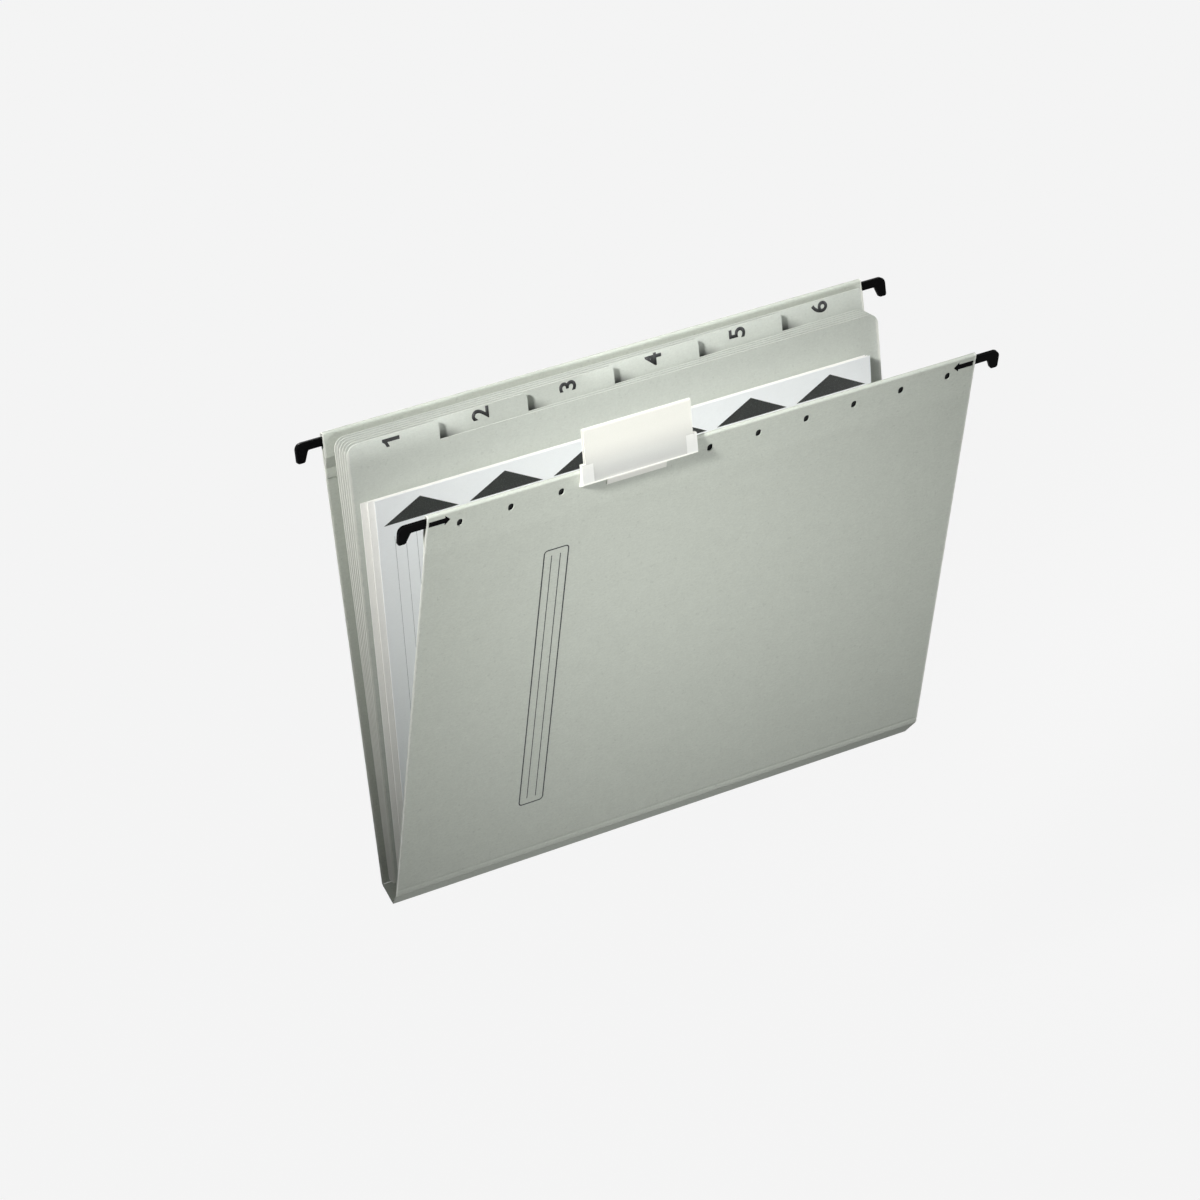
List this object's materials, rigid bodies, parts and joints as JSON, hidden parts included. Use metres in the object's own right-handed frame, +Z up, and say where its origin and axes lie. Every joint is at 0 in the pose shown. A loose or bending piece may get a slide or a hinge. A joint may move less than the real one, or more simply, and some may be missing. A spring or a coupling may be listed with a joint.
{
  "type": "hanging file folder",
  "caption": "Card suspension file hung by hooks, open in a V, with numbered tab dividers, index sheets and a clip-on label tab for sorting papers.",
  "frame": {"origin": "middle of the rear rail, on the line through its two hook seats, where the folder hangs", "axes": "+X along the width, to the right of someone facing the front cover; +Y to the rear; +Z up"},
  "size_m": [0.348, 0.1083, 0.2675],
  "materials": {
    "cover_card": "smooth solid card, grey",
    "divider_card": "smooth solid card, light grey",
    "white_paper": "matt, with printed dark pointers",
    "binding_card": "glued card edges",
    "black_plastic": "satin",
    "black_steel": "black lacquer",
    "frosted_plastic": "frosted, translucent",
    "label_paper": "matt cream"
  },
  "bodies": {
    "rear_cover": {"rear_cover": "cover_card", "rear_rail": "black_steel", "rear_left_hook": "black_plastic", "rear_right_hook": "black_plastic"},
    "rear_base": {"rear_base_strip": "cover_card", "divider_binding": "binding_card"},
    "front_base": {"front_base_strip": "cover_card"},
    "front_cover": {"front_cover": "cover_card", "front_rail": "black_steel", "front_left_hook": "black_plastic", "front_right_hook": "black_plastic"},
    "index_sheet": {"index_sheet": "white_paper"},
    "second_sheet": {"second_sheet": "white_paper"},
    "third_sheet": {"third_sheet": "white_paper"},
    "divider_1": {"divider_1": "divider_card"},
    "divider_2": {"divider_2": "divider_card"},
    "divider_3": {"divider_3": "divider_card"},
    "divider_4": {"divider_4": "divider_card"},
    "divider_5": {"divider_5": "divider_card"},
    "divider_6": {"divider_6": "divider_card"},
    "label_tab": {"label_tab": "frosted_plastic"},
    "label_insert": {"label_insert": "label_paper"}
  },
  "joints": [
    {"name": "rear_crease", "type": "hinge", "parent": "rear_cover", "child": "rear_base", "pos_m": [0, -0.04329, -0.23037], "axis": [1, 0, 0], "range_deg": [-3.24, 27.76]},
    {"name": "bottom_fold", "type": "hinge", "parent": "rear_base", "child": "front_base", "pos_m": [0, -0.05029, -0.23912], "axis": [1, 0, 0], "range_deg": [-12.05, 102.73]},
    {"name": "front_crease", "type": "hinge", "parent": "front_base", "child": "front_cover", "pos_m": [0, -0.05729, -0.23037], "axis": [1, 0, 0], "range_deg": [-3.29, 27.81]},
    {"name": "index_sheet_hinge", "type": "hinge", "parent": "rear_base", "child": "index_sheet", "pos_m": [0, -0.05269, -0.22754], "axis": [1, 0, 0], "range_deg": [-0.88, 7.12]},
    {"name": "second_sheet_hinge", "type": "hinge", "parent": "rear_base", "child": "second_sheet", "pos_m": [0, -0.05179, -0.22754], "axis": [1, 0, 0], "range_deg": [-0.54, 4.22]},
    {"name": "third_sheet_hinge", "type": "hinge", "parent": "rear_base", "child": "third_sheet", "pos_m": [0, -0.05089, -0.22754], "axis": [1, 0, 0], "range_deg": [-0.2, 1.32]},
    {"name": "divider_1_hinge", "type": "hinge", "parent": "rear_base", "child": "divider_1", "pos_m": [0, -0.04999, -0.22747], "axis": [1, 0, 0], "range_deg": [-4.59, 0.58]},
    {"name": "divider_2_hinge", "type": "hinge", "parent": "rear_base", "child": "divider_2", "pos_m": [0, -0.04909, -0.22747], "axis": [1, 0, 0], "range_deg": [-7.49, 0.92]},
    {"name": "divider_3_hinge", "type": "hinge", "parent": "rear_base", "child": "divider_3", "pos_m": [0, -0.04819, -0.22747], "axis": [1, 0, 0], "range_deg": [-10.39, 1.26]},
    {"name": "divider_4_hinge", "type": "hinge", "parent": "rear_base", "child": "divider_4", "pos_m": [0, -0.04729, -0.22747], "axis": [1, 0, 0], "range_deg": [-13.3, 1.6]},
    {"name": "divider_5_hinge", "type": "hinge", "parent": "rear_base", "child": "divider_5", "pos_m": [0, -0.04639, -0.22747], "axis": [1, 0, 0], "range_deg": [-16.2, 1.94]},
    {"name": "divider_6_hinge", "type": "hinge", "parent": "rear_base", "child": "divider_6", "pos_m": [0, -0.04549, -0.22747], "axis": [1, 0, 0], "range_deg": [-19.1, 2.28]},
    {"name": "label_tab_pull", "type": "slide", "parent": "front_cover", "child": "label_tab", "axis": [0, -0.982, -0.1891], "range_m": [0, 0.012]},
    {"name": "label_insert_slide", "type": "slide", "parent": "label_tab", "child": "label_insert", "axis": [1, 0, 0], "range_m": [0, 0.064]}
  ],
  "couplings": [
    {"joint": "bottom_fold", "follows": "rear_crease", "ratio": 3.6989},
    {"joint": "front_crease", "follows": "rear_crease", "ratio": 1},
    {"joint": "index_sheet_hinge", "follows": "rear_crease", "ratio": 0.2548},
    {"joint": "second_sheet_hinge", "follows": "rear_crease", "ratio": 0.15023},
    {"joint": "third_sheet_hinge", "follows": "rear_crease", "ratio": 0.045667},
    {"joint": "divider_1_hinge", "follows": "rear_crease", "ratio": -0.16347},
    {"joint": "divider_2_hinge", "follows": "rear_crease", "ratio": -0.26803},
    {"joint": "divider_3_hinge", "follows": "rear_crease", "ratio": -0.3726},
    {"joint": "divider_4_hinge", "follows": "rear_crease", "ratio": -0.47717},
    {"joint": "divider_5_hinge", "follows": "rear_crease", "ratio": -0.58173},
    {"joint": "divider_6_hinge", "follows": "rear_crease", "ratio": -0.6863}
  ]
}
